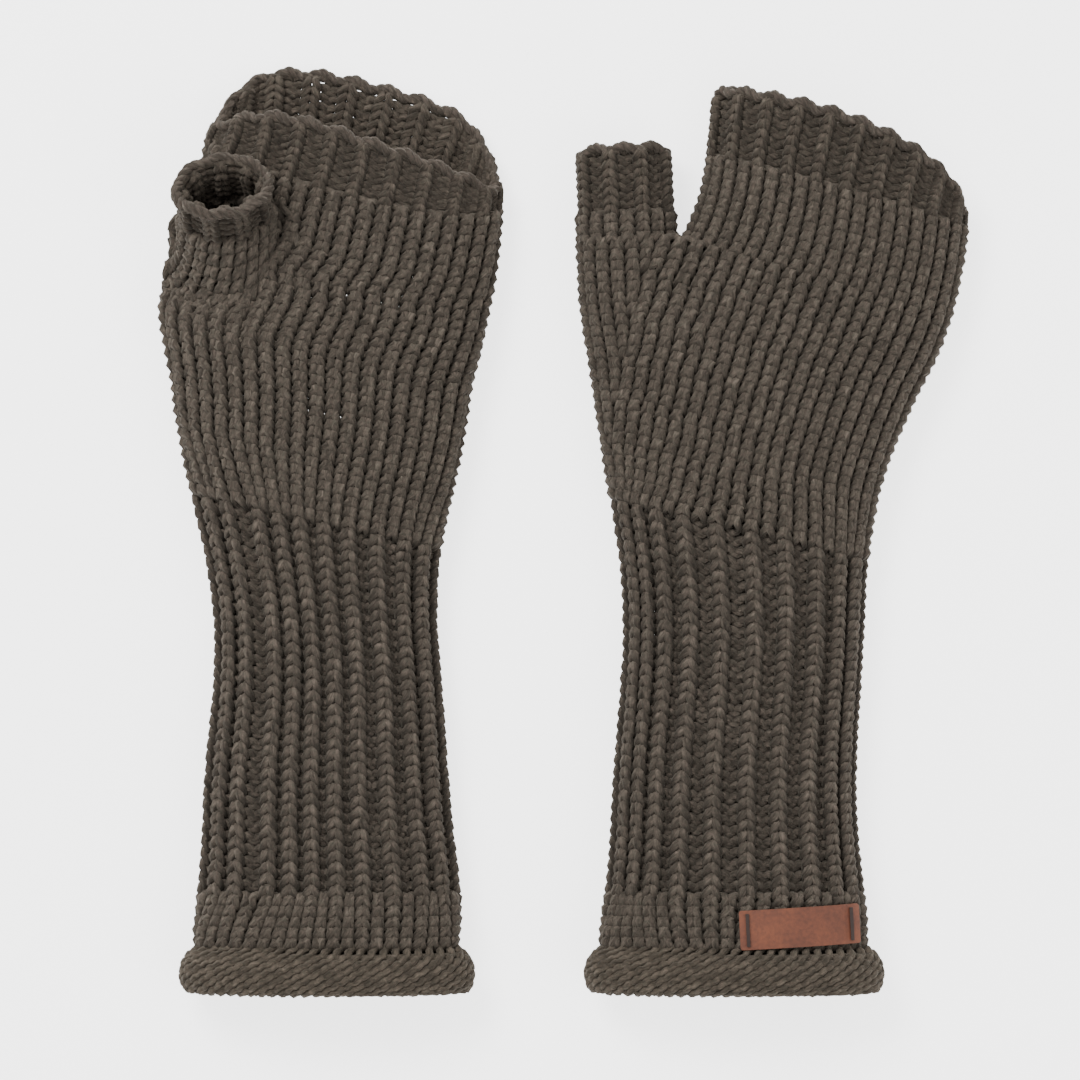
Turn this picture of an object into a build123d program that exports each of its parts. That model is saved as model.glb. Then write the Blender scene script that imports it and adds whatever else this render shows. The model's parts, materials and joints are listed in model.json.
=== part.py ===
"""A pair of long knitted fingerless gloves, lying flat: the left one palm up, the right one back up.

Each glove is one hollow knitted tube that widens from the wrist to the hand, with a ribbed opening for
four fingers and a short ribbed tube for the thumb. It is cut into its knitted sections: rolled hem, plain
band, ribbed cuff, wrist, hand, finger rib, thumb root, thumb rib and the two bound-off edges. A leather
label is sewn on the band of the right glove. Millimetres, +Z up, +Y from the hems to the fingers. The
origin is on the table, under the middle of the pair.
"""

import os
from dataclasses import dataclass
from math import cos, radians, sin

from build123d import *

WALL = 4.0  # thickness of the knitted fabric
SUNK = -0.4  # floor of a section that the table presses flat
CROWN = 7 / 12  # share of a section's height that is above its widest line
HEM_TOP_Y = -121.5  # where the rolled hem meets the plain band
ROLL = [(0.0, 1.2), (2.0, 3.6), (5.0, 4.8), (9.6, 4.8), (13.0, 3.0), (14.6, 0.4)]  # way down, way out
BAND_TOP_Y = -106.0  # where the plain band meets the ribbed cuff
BIND_OFF = 2.4  # height of the bound-off chain along each open edge
THUMB_FLOOR = 0.6  # the thumb root's fabric hangs clear of the table
TALL = 90.0  # longer than any piece is high or thick
WIDE = 300.0  # wider than the pair

LABEL_CENTRE = (68.8, -114.4)
LABEL_SIZE = (35.6, 11.5)
LABEL_TILT = 2.9
LABEL_THICK = 1.3
LABEL_GAP = 0.1
LABEL_CORNER = 0.8
LABEL_FLOOR = 14.0  # height below which the label doesn't reach
STITCH_SIZE = (1.0, 9.6)
STITCH_THICK = 0.6
STITCH_INSET = 2.4  # from each end of the label


@dataclass
class Glove:
    """Stations run from hem to fingers: left point, right point, height of floor and of top."""

    palm: list
    fingers: list
    wrist_start: tuple
    hand_start: tuple
    finger_rib_start: tuple
    rim: list
    rim_lean: float
    thumb: list
    thumb_base: tuple
    thumb_side: float
    thumb_lift: float
    thumb_root_length: float
    thumb_length: float


LEFT = Glove(
    palm=[
        ((-109.0, HEM_TOP_Y), (-31.4, HEM_TOP_Y), 4.6, 26.5),
        ((-108.6, BAND_TOP_Y), (-30.8, BAND_TOP_Y), 2.0, 25.5),
        ((-107.3, -86.0), (-32.6, -89.0), SUNK, 24.5),
        ((-105.6, -60.0), (-34.8, -64.0), SUNK, 24.0),
        ((-104.2, -21.0), (-37.3, -31.0), SUNK, 23.0),
        ((-110.4, 12.0), (-36.5, -4.0), SUNK, 24.0),
        ((-114.6, 33.0), (-32.0, 17.5), SUNK, 25.0),
        ((-118.2, 56.0), (-28.4, 38.0), SUNK, 26.0),
        ((-119.0, 72.0), (-25.0, 53.0), SUNK, 26.0),
    ],
    fingers=[
        ((-118.6, 68.0), (-26.6, 47.0), SUNK, 25.9),
        ((-111.5, 88.0), (-21.8, 68.5), SUNK, 25.6),
        ((-107.5, 110.0), (-19.0, 88.3), SUNK, 25.0),
        ((-102.0, 139.0), (-18.6, 116.0), SUNK, 25.0),
    ],
    wrist_start=((-104.2, -21.0), (-37.3, -31.0)),
    hand_start=((-110.4, 12.0), (-36.5, -4.0)),
    finger_rib_start=((-107.5, 110.0), (-19.0, 88.3)),
    rim=[(-112.0, 119.4), (-100.0, 133.0), (-81.0, 137.7), (-56.0, 133.5), (-30.0, 123.8), (-14.0, 102.4)],
    rim_lean=0.6,
    thumb=[(-5.0, 17.0, 12.0), (4.0, 16.2, 11.6), (14.0, 14.8, 11.0), (33.0, 14.4, 11.0)],
    thumb_base=(-98.5, 87.0, 14.0),
    thumb_side=-3.0,
    thumb_lift=57.0,
    thumb_root_length=14.0,
    thumb_length=30.0,
)

RIGHT = Glove(
    palm=[
        ((10.4, HEM_TOP_Y), (89.3, HEM_TOP_Y), 4.6, 26.5),
        ((11.4, BAND_TOP_Y), (88.6, BAND_TOP_Y), 2.0, 25.5),
        ((13.3, -86.0), (86.9, -89.0), SUNK, 24.5),
        ((14.9, -60.0), (86.3, -66.0), SUNK, 24.0),
        ((17.0, -23.0), (88.2, -34.5), SUNK, 23.0),
        ((13.2, 10.5), (89.7, -7.5), SUNK, 24.0),
        ((9.1, 35.8), (93.0, 13.0), SUNK, 25.0),
        ((5.3, 60.0), (101.6, 36.0), SUNK, 26.0),
        ((3.6, 74.0), (107.2, 49.0), SUNK, 26.0),
    ],
    fingers=[
        ((16.0, 70.0), (105.8, 45.0), SUNK, 25.9),
        ((33.9, 88.0), (113.6, 62.5), SUNK, 25.4),
        ((41.5, 112.0), (119.1, 91.0), SUNK, 24.5),
        ((44.3, 138.0), (119.4, 118.0), SUNK, 24.0),
    ],
    wrist_start=((17.0, -23.0), (88.2, -34.5)),
    hand_start=((13.2, 10.5), (89.7, -7.5)),
    finger_rib_start=((41.5, 112.0), (119.1, 91.0)),
    rim=[(38.0, 133.0), (70.0, 126.8), (99.7, 115.5), (113.0, 106.0), (123.0, 88.0)],
    rim_lean=0.0,
    thumb=[(-26.0, 13.4, 10.5), (-8.0, 15.2, 10.8), (10.0, 14.9, 10.5), (34.0, 15.3, 10.5)],
    thumb_base=(18.4, 86.0, 10.5),
    thumb_side=-2.5,
    thumb_lift=0.0,
    thumb_root_length=8.5,
    thumb_length=30.5,
)

GLOVES = {"left": LEFT, "right": RIGHT}


def cut_plane(left, right):
    """Upright plane through two points of the plan, facing the hem, with its own y pointing up."""
    across = Vector(right[0] - left[0], right[1] - left[1], 0)
    facing = Vector(right[1] - left[1], left[0] - right[0], 0)
    middle = ((left[0] + right[0]) / 2, (left[1] + right[1]) / 2, 0)
    return Plane(origin=middle, x_dir=across, z_dir=facing)


def tube(stations, inset=0.0):
    """Solid through oval sections with a flat underside, each drawn inwards by the inset."""
    with BuildPart() as body:
        for left, right, floor, top in stations:
            width = ((right[0] - left[0]) ** 2 + (right[1] - left[1]) ** 2) ** 0.5
            height = top - floor
            widest = top - height * CROWN
            with BuildSketch(cut_plane(left, right)):
                with Locations((0, widest)):
                    Ellipse(width / 2 - inset, height * CROWN - inset)
                with Locations((0, floor + inset)):
                    Rectangle(WIDE, TALL, align=(Align.CENTER, Align.MIN), mode=Mode.INTERSECT)
        loft()
    return body.part


def thumb_frame(glove):
    """Plane at the thumb's base whose normal runs up the thumb."""
    side = radians(glove.thumb_side)
    lift = radians(glove.thumb_lift)
    along = Vector(sin(side), cos(side) * cos(lift), cos(side) * sin(lift))
    return Plane(origin=glove.thumb_base, x_dir=(cos(side), -sin(side), 0), z_dir=along)


def thumb_tube(glove, inset=0.0):
    """Solid through the oval sections of the thumb."""
    base = thumb_frame(glove)
    with BuildPart() as body:
        for along, half_width, half_height in glove.thumb:
            with BuildSketch(base.offset(along)):
                Ellipse(half_width - inset, half_height - inset)
        loft()
    return body.part


def beyond_rim(glove, drop=0.0):
    """Everything past the curved finger opening, moved towards the hem by the drop."""
    points = [(x, y - drop) for x, y in glove.rim]
    far = 60.0
    with BuildPart() as body:
        with BuildSketch(Plane.XY.offset(-1)):
            with BuildLine():
                Spline(points)
                Polyline(
                    points[-1],
                    (points[-1][0] + 2, points[-1][1] + far * 1.5),
                    (points[0][0] - 2, points[0][1] + far * 1.5),
                    points[0],
                )
            make_face()
        extrude(amount=TALL, dir=(0, -glove.rim_lean, 1))
    return body.part


def rolled_hem(glove):
    """Solid of the rolled hem, with the rounded outside of a rolled edge."""
    left, right, floor, top = glove.palm[0]
    stations = []
    for down, out in ROLL:
        near = (left[0] - out, left[1] - down)
        far = (right[0] + out, right[1] - down)
        stations.append((near, far, floor - out, top + out))
    return tube(stations)


def hem_opening(glove):
    """Space inside the rolled hem, as wide as the inside of the band."""
    left, right, floor, top = glove.palm[0]
    ends = (1.0, -ROLL[-1][0] - 1.0)
    return tube([((left[0], left[1] + end), (right[0], right[1] + end), floor, top) for end in ends], WALL)


def layer(glove, inner, outer):
    """Part of the skin that lies between two distances outside the fabric, from hem to hand."""
    with BuildPart() as skin:
        add(tube(glove.palm, -outer))
        add(tube(glove.palm, -inner), mode=Mode.SUBTRACT)
    return skin.part


def save(piece, name):
    """Labels a finished piece and writes it."""
    piece.part.label = name
    export_step(piece.part, f"parts/{name}.step")


os.makedirs("parts", exist_ok=True)

for side, glove in GLOVES.items():
    band_plane = cut_plane((-WIDE / 2, BAND_TOP_Y), (WIDE / 2, BAND_TOP_Y))
    wrist_plane = cut_plane(*glove.wrist_start)
    hand_plane = cut_plane(*glove.hand_start)
    finger_rib_plane = cut_plane(*glove.finger_rib_start)
    thumb_root_end = thumb_frame(glove).offset(glove.thumb_root_length)
    thumb_rib_end = thumb_frame(glove).offset(glove.thumb_length - BIND_OFF)
    thumb_end = thumb_frame(glove).offset(glove.thumb_length)

    palm_outside = tube(glove.palm)
    fingers_outside = tube(glove.fingers)
    palm_inside = tube(glove.palm, WALL)
    fingers_inside = tube(glove.fingers, WALL)
    thumb_outside = thumb_tube(glove)
    thumb_inside = thumb_tube(glove, WALL)
    past_edge = beyond_rim(glove)
    past_rib = beyond_rim(glove, BIND_OFF)

    with BuildPart() as shell:
        add(palm_outside)
        add(fingers_outside)
        add(palm_inside, mode=Mode.SUBTRACT)
        add(fingers_inside, mode=Mode.SUBTRACT)
        add(thumb_inside, mode=Mode.SUBTRACT)
        split(bisect_by=Plane.XY, keep=Keep.TOP)

    with BuildPart() as hem:
        add(rolled_hem(glove))
        add(hem_opening(glove), mode=Mode.SUBTRACT)
        split(bisect_by=Plane.XY, keep=Keep.TOP)
    save(hem, f"{side}_rolled_hem")

    with BuildPart() as hem_band:
        add(shell.part)
        split(bisect_by=band_plane, keep=Keep.TOP)
    save(hem_band, f"{side}_hem_band")

    with BuildPart() as cuff_rib:
        add(shell.part)
        split(bisect_by=band_plane, keep=Keep.BOTTOM)
        split(bisect_by=wrist_plane, keep=Keep.TOP)
    save(cuff_rib, f"{side}_cuff_rib")

    with BuildPart() as wrist:
        add(shell.part)
        split(bisect_by=wrist_plane, keep=Keep.BOTTOM)
        split(bisect_by=hand_plane, keep=Keep.TOP)
    save(wrist, f"{side}_wrist")

    with BuildPart() as hand:
        add(shell.part)
        split(bisect_by=hand_plane, keep=Keep.BOTTOM)
        split(bisect_by=finger_rib_plane, keep=Keep.TOP)
    save(hand, f"{side}_hand")

    with BuildPart() as finger_rib:
        add(shell.part)
        split(bisect_by=finger_rib_plane, keep=Keep.BOTTOM)
        add(past_rib, mode=Mode.SUBTRACT)
    save(finger_rib, f"{side}_finger_rib")

    with BuildPart() as finger_edge:
        add(shell.part)
        split(bisect_by=finger_rib_plane, keep=Keep.BOTTOM)
        add(past_rib, mode=Mode.INTERSECT)
        add(past_edge, mode=Mode.SUBTRACT)
    save(finger_edge, f"{side}_finger_edge")

    with BuildPart() as thumb:
        add(thumb_outside)
        add(palm_outside, mode=Mode.SUBTRACT)
        add(fingers_outside, mode=Mode.SUBTRACT)
        add(thumb_inside, mode=Mode.SUBTRACT)
        split(bisect_by=Plane.XY.offset(THUMB_FLOOR), keep=Keep.TOP)

    with BuildPart() as thumb_root:
        add(thumb.part)
        split(bisect_by=thumb_root_end, keep=Keep.BOTTOM)
    save(thumb_root, f"{side}_thumb_root")

    with BuildPart() as thumb_rib:
        add(thumb.part)
        split(bisect_by=thumb_root_end, keep=Keep.TOP)
        split(bisect_by=thumb_rib_end, keep=Keep.BOTTOM)
    save(thumb_rib, f"{side}_thumb_rib")

    with BuildPart() as thumb_edge:
        add(thumb.part)
        split(bisect_by=thumb_rib_end, keep=Keep.TOP)
        split(bisect_by=thumb_end, keep=Keep.BOTTOM)
    save(thumb_edge, f"{side}_thumb_edge")

label_plane = Plane(
    origin=(LABEL_CENTRE[0], LABEL_CENTRE[1], LABEL_FLOOR),
    x_dir=(cos(radians(LABEL_TILT)), sin(radians(LABEL_TILT)), 0),
    z_dir=(0, 0, 1),
)
label_outside = LABEL_GAP + LABEL_THICK

with BuildPart() as label:
    add(layer(RIGHT, LABEL_GAP, label_outside))
    with BuildSketch(label_plane):
        Rectangle(*LABEL_SIZE)
    extrude(amount=TALL, mode=Mode.INTERSECT)
    corners = label.edges().filter_by(Axis.Z)
    fillet(corners, LABEL_CORNER)
save(label, "label")

for end, name in ((-1, "label_stitch_front"), (1, "label_stitch_side")):
    with BuildPart() as stitch:
        add(layer(RIGHT, label_outside, label_outside + STITCH_THICK))
        with BuildSketch(label_plane):
            with Locations((end * (LABEL_SIZE[0] / 2 - STITCH_INSET), 0)):
                Rectangle(*STITCH_SIZE)
        extrude(amount=TALL, mode=Mode.INTERSECT)
    save(stitch, name)
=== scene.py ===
import json
import math

import bpy
import numpy as np
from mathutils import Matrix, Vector
from mathutils.bvhtree import BVHTree


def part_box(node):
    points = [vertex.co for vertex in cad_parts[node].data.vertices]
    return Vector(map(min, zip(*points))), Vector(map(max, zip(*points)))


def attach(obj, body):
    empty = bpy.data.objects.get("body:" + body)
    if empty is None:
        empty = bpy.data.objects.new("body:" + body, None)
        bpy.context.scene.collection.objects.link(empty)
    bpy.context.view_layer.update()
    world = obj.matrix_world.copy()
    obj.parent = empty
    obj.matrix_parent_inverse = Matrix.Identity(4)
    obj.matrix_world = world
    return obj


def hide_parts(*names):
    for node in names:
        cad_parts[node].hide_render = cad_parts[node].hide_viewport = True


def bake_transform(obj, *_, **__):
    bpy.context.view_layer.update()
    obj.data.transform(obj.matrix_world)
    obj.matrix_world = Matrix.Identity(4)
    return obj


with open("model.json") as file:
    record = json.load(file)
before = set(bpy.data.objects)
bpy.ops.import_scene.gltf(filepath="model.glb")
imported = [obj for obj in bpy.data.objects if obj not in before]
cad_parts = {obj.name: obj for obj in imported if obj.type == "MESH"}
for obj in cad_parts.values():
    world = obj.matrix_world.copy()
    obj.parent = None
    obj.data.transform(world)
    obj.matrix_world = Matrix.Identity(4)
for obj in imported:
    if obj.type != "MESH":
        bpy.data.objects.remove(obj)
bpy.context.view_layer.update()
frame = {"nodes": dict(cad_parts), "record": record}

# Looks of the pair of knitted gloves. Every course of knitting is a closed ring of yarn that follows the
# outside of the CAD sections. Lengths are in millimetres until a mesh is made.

RNG = np.random.default_rng(11)

EDGE_YARN = 1.1875  # radius of the yarn of the bound-off edges
CLOSE = 0.27  # how far a loop's legs lean together, as a share of its column
NARROW = 0.02  # how far a loop keeps clear of the next column, as a share of its own
HALF = 72  # points along each side of a ring
RAYS = 26  # rays across each side of a ring
SEARCH_IN, SEARCH_OUT = 9, 15  # how far inside and outside a line's end the edge of the skin is looked for
THINNEST = 17  # a tube that reads thinner than this, away from its sides, was missed by a ray
SIDE_SHARE = 0.06  # share of a ring's width that counts as its side

# Kinds of stitch: half the height of a loop as a share of its row, how far its legs stand out, how far knit
# columns stand above purl ones, how far the middle lies inside the skin, and the radius of the yarn
PLAIN = dict(reach=0.8, depth=1.0, relief=0.0, inset=2.0, yarn=1.22)
RIB = dict(reach=0.78, depth=0.85, relief=1.85, inset=3.1, yarn=1.34)
RIM = dict(reach=0.78, depth=0.75, relief=1.35, inset=2.6, yarn=1.18)

RIM_LEAN = {"left": 0.6, "right": 0.0}  # how far the finger opening falls back, as a share of its height
RIM_SAG = {"left": 5.0, "right": 0.0}  # how far its front slips down, towards the little finger
THUMB_SWELL = (84.0, 15.0, 3.6)  # where the palm swells out beside the left thumb, how long it is and how far
TOP_LEVEL = 25.0  # height of the top of the hand
RIM_HEIGHTS = (1.5, 4, 7, 9, 11, 13, 16, 19, 22)  # heights at which the rim of the finger opening is felt

CUFF_COLUMNS = 40
THUMB_COLUMNS = 16
FOOT_COLUMNS = {"left": 20, "right": 16}
EDGE_INSET = 2.3  # how far the bound-off edges lie inside the skin
CORNER_DROP = 2.0  # how far the corners of a flattened opening sink below its rim
FOOT_SPREAD = (1.5, 22.0)  # how far the left thumb's foot spreads: all round, and further towards the hem
PALM_LEVEL = 15.0  # height of the left palm's edge, below which its yarn goes on under the thumb
HEM_STATIONS = (0.06, 0.19, 0.33, 0.47, 0.61, 0.74, 0.85)  # rings round the roll, as shares of its depth
HEM_WALLS = ((2.4, 12.4), (2.4, 9.4), (2.4, 6.4), (2.4, 3.4), (3.3, 0.4), (3.3, -2.6))  # inside: inset, drop
HEM_ROPES = 50
HEM_SLANT = 0.0165  # share of the ring that a rope of the hem moves along from one row to the next
GUSSET_COLUMNS = {"left": 0, "right": 12}
FIRST_COLUMN = {"left": 2, "right": 0}  # column of the cuff from which the hand's columns are counted
GUSSET_MIDDLE = 19.0  # from the left glove's edge to the middle of its thumb, over the palm

# Courses in each section
BAND_ROWS, CUFF_ROWS, WRIST_ROWS, RIM_ROWS = 5, 24, 9, 7
HAND_ROWS = {"left": 32, "right": 33}
FORK_ROWS = 24  # courses of the right hand below the fork between thumb and fingers
FORK_DEPTH = 0.39  # how far the fork lies below the thumb's rib, as a share of the rib
ROOT_ROWS = {"left": 8, "right": 3}
THUMB_ROWS = {"left": 5, "right": 7}
ROOT_LENGTH = {"left": 14.0, "right": 8.5}

MAIN_PARTS = ("hem_band", "cuff_rib", "wrist", "hand", "finger_rib", "finger_edge")
FABRIC_MIDDLE = 0.0115  # height in metres of the middle of the wrist

# Steps across the front of each cuff between the middles of neighbouring knit ribs
RIB_STEPS = {
    "left": (5.7, 9.3, 6.2, 6.2, 6.9, 7.2, 8.4, 7.9, 5.9),
    "right": (3.9, 5.4, 7.4, 9.4, 10.0, 9.4, 8.9, 7.0, 4.7),
}
RIB_SPREAD = {"left": 0.885, "right": 0.92}  # share of a cuff's width from its first rib to its last
RIB_WIDE = 5.6  # widest a knit rib spreads

SLOTS = {s["node"]: s["material_slot"] for s in frame["record"]["subparts"]}


# ---------------------------------------------------------------- the skin of the CAD sections


class Skin:
    """Outside of some CAD nodes, felt by straight rays."""

    def __init__(self, *names):
        corners, faces = [], []
        for name in names:
            mesh = frame["nodes"][name].data
            first = len(corners)
            corners += [v.co * 1000 for v in mesh.vertices]
            faces += [[first + i for i in p.vertices] for p in mesh.polygons]
        self.tree = BVHTree.FromPolygons(corners, faces)

    def height(self, x, y, lean, above):
        """Height of the top or the underside along an upright ray that leans back by a share of its rise"""
        slope = Vector((0, -lean, 1))
        side = 80 if above else -80
        hit = self.tree.ray_cast(Vector((x, y, 0)) + slope * side, -slope * side)[0]
        return None if hit is None else hit.z

    def forward(self, x, z, y=170.0):
        """How far forward the skin reaches at one place across and one height"""
        hit = self.tree.ray_cast(Vector((x, y, z)), Vector((0, -1, 0)))[0]
        return None if hit is None else hit.y


def flat_ends(node):
    """Ends of a section, each as its left and right point in plan, from the hem side to the finger side"""
    mesh = frame["nodes"][node].data
    found = {}
    for face in mesh.polygons:
        n = face.normal
        if abs(n.z) < 0.01 and abs(n.y) > 0.7:
            out = n if n.y > 0 else -n
            key = (round(out.x, 2), round(out.dot(face.center) * 2000))
            area, points = found.get(key, (0.0, []))
            points += [mesh.vertices[i].co * 1000 for i in face.vertices]
            found[key] = (area + face.area, points)
    lines = []
    for area, points in sorted(found.values(), key=lambda f: -f[0])[:2]:
        flat = np.array(points)[:, :2]
        lines.append((flat[flat[:, 0].argmin()], flat[flat[:, 0].argmax()]))
    return sorted(lines, key=lambda line: line[0][1] + line[1][1])


def find_edge(skin, inside, outside, lean):
    """Plan point where the skin stops between two plan points"""
    a, b = np.array(inside, float), np.array(outside, float)
    for _ in range(13):
        middle = (a + b) / 2
        if skin.height(middle[0], middle[1], lean, True) is None:
            b = middle
        else:
            a = middle
    return a


def even(points, count):
    """The same line with evenly spaced points, without its last one"""
    gaps = np.linalg.norm(np.diff(points, axis=0), axis=1)
    along = np.concatenate([[0], np.cumsum(gaps)])
    want = np.linspace(0, along[-1], count, endpoint=False)
    return np.stack([np.interp(want, along, points[:, k]) for k in range(points.shape[1])], 1)


def ring(skin, path, lean=0.0):
    """Closed ring of points round the skin over a path in plan: the top from left to right, then beneath"""
    path = np.array(path, float)
    for end, near in ((0, 1), (-1, -2)):
        way = path[end] - path[near]
        way /= np.linalg.norm(way)
        path[end] = find_edge(skin, path[end] - way * SEARCH_IN, path[end] + way * SEARCH_OUT, lean)
    gaps = np.linalg.norm(np.diff(path, axis=0), axis=1)
    along = np.concatenate([[0], np.cumsum(gaps)]) / gaps.sum()
    share = (1 - np.cos(np.pi * (np.arange(RAYS) + 0.5) / RAYS)) / 2
    plan = np.stack([np.interp(share, along, path[:, k]) for k in (0, 1)], 1)
    top = np.array([skin.height(x, y, lean, True) or np.nan for x, y in plan])
    low = np.array([skin.height(x, y, lean, False) or 0.0 for x, y in plan])
    inner = (share > SIDE_SHARE) & (share < 1 - SIDE_SHARE)
    top[inner & ~(top - low > THINNEST)] = np.nan
    known = ~np.isnan(top)
    top = np.interp(share, share[known], top[known])
    sides = [np.array([*path[k], (top[k] + low[k]) / 2]) for k in (0, -1)]
    over = np.vstack([sides[0], np.column_stack([plan, top]), sides[1]])
    under = np.vstack([sides[1], np.column_stack([plan, low])[::-1], sides[0]])
    found = np.vstack([even(over, HALF), even(under, HALF)])
    found[:, 1] -= lean * found[:, 2]
    return found


def smoothed(rings, rounds, first, last):
    """Rings with the steps between neighbouring ones eased, from one ring to another"""
    rings = rings.copy()
    for _ in range(rounds):
        inner = rings[first:last]
        rings[first:last] = inner / 2 + (rings[first - 1 : last - 1] + rings[first + 1 : last + 1]) / 4
    return rings


def normals_of(rings):
    """Outward direction at each point of a stack of rings"""
    across = np.roll(rings, -1, 1) - np.roll(rings, 1, 1)
    up = np.gradient(rings, axis=0)
    out = np.cross(across, up)
    out /= np.linalg.norm(out, axis=2)[..., None]
    for _ in range(2):
        out = out + 0.5 * (np.roll(out, 1, 1) + np.roll(out, -1, 1))
        out /= np.linalg.norm(out, axis=2)[..., None]
    return out


# ---------------------------------------------------------------- loops of yarn


class Loop(dict):
    """One length of yarn: its middle line, outward directions, radius and painted shade, darker where it lies
    deep in a stitch
    """


def along_ring(points):
    """Distance along a closed ring to each of its points, and back to the first"""
    closed = np.vstack([points, points[:1]])
    return np.concatenate([[0], np.cumsum(np.linalg.norm(np.diff(closed, axis=0), axis=1))])


def on_ring(points, values, shares):
    """Values of a ring's points at shares of its length"""
    along = along_ring(points)
    values = np.vstack([values, values[:1]])
    place = (shares % 1.0) * along[-1]
    return np.stack([np.interp(place, along, values[:, k]) for k in range(3)], 1)


class Row(dict):
    """One course to knit: its ring, outward directions, limits, faces and names of its columns, and stitch"""


def knit(rows):
    """Loops of yarn for neighbouring courses, whose stitches follow their columns from course to course"""
    middles = []
    for row in rows:
        at = (row["limits"][1:] + row["limits"][:-1]) / 2
        middles.append(dict(zip(row["names"], on_ring(row["ring"], row["ring"], at))))
    loops = []
    for k, row in enumerate(rows):
        before, after = max(k - 1, 0), min(k + 1, len(rows) - 1)
        ways = []
        for name in row["names"]:
            steps = [m[name] for m in (middles[before], middles[after]) if name in m]
            ways.append((steps[1] - steps[0]) / (after - before) if len(steps) == 2 else np.full(3, np.nan))
        ways = np.array(ways)
        lost = np.isnan(ways[:, 0])
        ways[lost] = ways[~lost].mean(0)
        loops.append(course(row, ways))
    return loops


def course(row, ways):
    """One course of stitches along a ring. Faces are +1 for knit and -1 for purl"""
    stitch, steps, faces = row["stitch"], row["steps"], np.asarray(row["faces"], float)
    limits, count = row["limits"], len(faces)
    t = (np.arange(steps) + 0.5) / steps
    phase = 2 * np.pi * (t - 0.5)
    close = CLOSE * (1 + 0.12 * RNG.standard_normal((count, 1)))
    sway = close * np.sin(2 * phase)[None] - NARROW * np.sin(phase)[None]
    place = (limits[:-1, None] + np.diff(limits)[:, None] * (t[None] + sway)).ravel()
    beside = np.where(t < 0.5, np.roll(faces, 1)[:, None], np.roll(faces, -1)[:, None])
    far = np.minimum(np.minimum(t, 1 - t) / 0.25, 1)
    mix = 0.25 * (1 + np.cos(np.pi * far))
    own = faces[:, None] * (1 - mix) + beside * mix
    wave = 0.5 * (1 - np.sin(np.pi * t))
    hump = faces[:, None] * (1 - wave) + beside * wave

    reach = stitch["reach"] * (1 + 0.05 * RNG.standard_normal((count, 1)))
    rise = (-reach * np.cos(phase)[None]).ravel()
    crown = np.sin(2 * np.abs(phase))
    swell = -np.cos(2 * phase) - 0.85 * crown
    thick = stitch["yarn"] * (1 - 0.18 * crown * np.where(faces[:, None] > 0, 1, 0.3)).ravel()
    lift = stitch["depth"] * own * swell[None] + stitch["relief"] * hump
    lift = (lift + 0.07 * RNG.standard_normal((count, 1))).ravel()

    base = on_ring(row["ring"], row["ring"] - row["out"] * stitch["inset"], place)
    normal = on_ring(row["ring"], row["out"], place)
    normal /= np.linalg.norm(normal, axis=1)[:, None]
    line = base + np.repeat(ways, steps, 0) * rise[:, None] + normal * lift[:, None]
    # painted shade: points sunk deep in a stitch get a low value and are darkened in the wool's colour,
    # raised points a high value and a faint painted highlight
    painted_shade_sink = np.where(faces[:, None] > 0, crown - 0.35 * np.cos(2 * phase), 0.6 * np.cos(2 * phase))
    return Loop(line=line, out=normal, radius=thick, shade=(0.5 - 0.5 * painted_shade_sink).ravel())


def columns(weights, start):
    """Limits of columns as shares of a ring, from a start share"""
    ends = np.concatenate([[0], np.cumsum(weights)]) / np.sum(weights)
    return start + ends


def tubes(name, loops, sides=6):
    """One mesh of all these loops of yarn, with a map that runs along the yarn and the painted shade of each
    point, kept in the crown attribute
    """
    corners, quads, maps, painted_shades, base = [], [], [], [], 0
    turn = np.arange(sides) / sides * 2 * np.pi
    for loop in loops:
        line, out = loop["line"], loop["out"]
        if loop.get("open"):
            way = np.gradient(line, axis=0)
        else:
            way = np.roll(line, -1, 0) - np.roll(line, 1, 0)
        way /= np.linalg.norm(way, axis=1)[:, None] + 1e-9
        side = np.cross(way, out)
        side /= np.linalg.norm(side, axis=1)[:, None] + 1e-9
        top = np.cross(side, way)
        thick = np.broadcast_to(loop["radius"], len(line))[:, None, None]
        skin = line[:, None] + thick * (
            np.cos(turn)[None, :, None] * side[:, None] + np.sin(turn)[None, :, None] * top[:, None]
        )
        corners.append(skin.reshape(-1, 3))
        # each point's painted shade; strands without one get 0.8, a slight painted highlight
        painted_shades.append(np.repeat(np.broadcast_to(loop.get("shade", 0.8), len(line)), sides))
        n = len(line)
        i = np.arange(n - 1 if loop.get("open") else n)[:, None]
        j = np.arange(sides)[None]
        k, m = (i + 1) % n, (j + 1) % sides
        quad = np.stack([i * sides + j, i * sides + m, k * sides + m, k * sides + j], -1)
        quads.append(quad.reshape(-1, 4) + base)
        base += n * sides
        gap = np.linalg.norm(np.roll(line, -1, 0) - line, axis=1)
        run = np.concatenate([[0], np.cumsum(gap)]) + RNG.uniform(0, 900)
        u0, u1 = run[i] + 0 * j, run[i + 1] + 0 * j
        v0, v1 = j / sides + 0 * i, (j + 1) / sides + 0 * i
        maps.append(np.stack([u0, v0, u0, v1, u1, v1, u1, v0], -1).reshape(-1, 2))
    piece = mesh_of(name, np.concatenate(corners), np.concatenate(quads), np.concatenate(maps))
    # the painted shade of each point, stored as the crown attribute
    layer = piece.data.attributes.new("crown", "FLOAT", "POINT")
    layer.data.foreach_set("value", np.concatenate(painted_shades).astype(np.float32))
    return piece


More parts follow.
